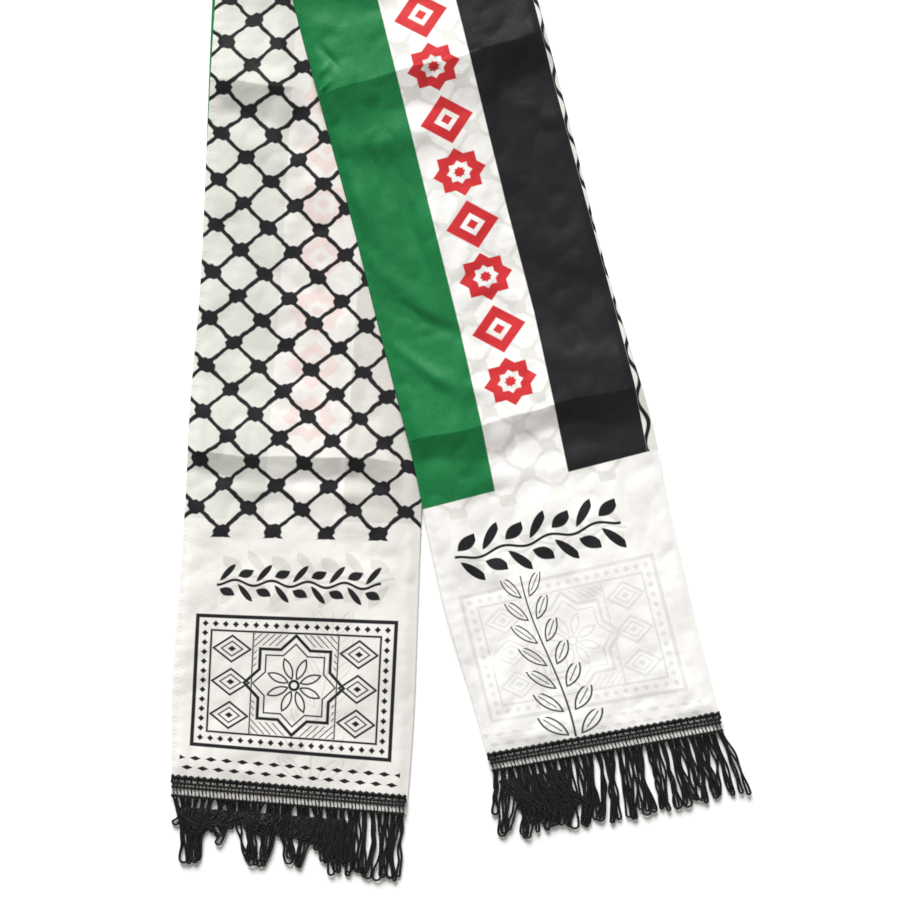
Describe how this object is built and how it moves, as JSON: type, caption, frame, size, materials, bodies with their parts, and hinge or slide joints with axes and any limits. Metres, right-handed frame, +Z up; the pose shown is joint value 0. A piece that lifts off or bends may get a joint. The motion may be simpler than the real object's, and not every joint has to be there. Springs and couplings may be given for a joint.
{
  "type": "flag scarf",
  "caption": "Long printed satin scarf, a flat tube with a braided fringe on each end, laid folded once with its two legs side by side.",
  "frame": {"origin": "middle of the scarf's footprint, on the surface it lies on", "axes": "+Z up from the surface, +Y towards the turn of the cloth, +X from the leg that shows its net side to the leg that shows its flag side"},
  "size_m": [0.3381, 0.6907, 0.0086],
  "materials": {
    "net_satin": "white polyester satin printed with a black net",
    "flag_satin": "polyester satin printed with green, white and black stripes",
    "fringe_yarn": "glossy black twisted polyester yarn"
  },
  "bodies": {
    "root": {"left_leg_flag_side": "flag_satin", "left_leg_net_side": "net_satin", "right_leg_net_side": "net_satin", "right_leg_flag_side": "flag_satin", "turn_net_side": "net_satin", "turn_flag_side": "flag_satin", "left_fringe": "fringe_yarn", "right_fringe": "fringe_yarn"}
  },
  "joints": []
}
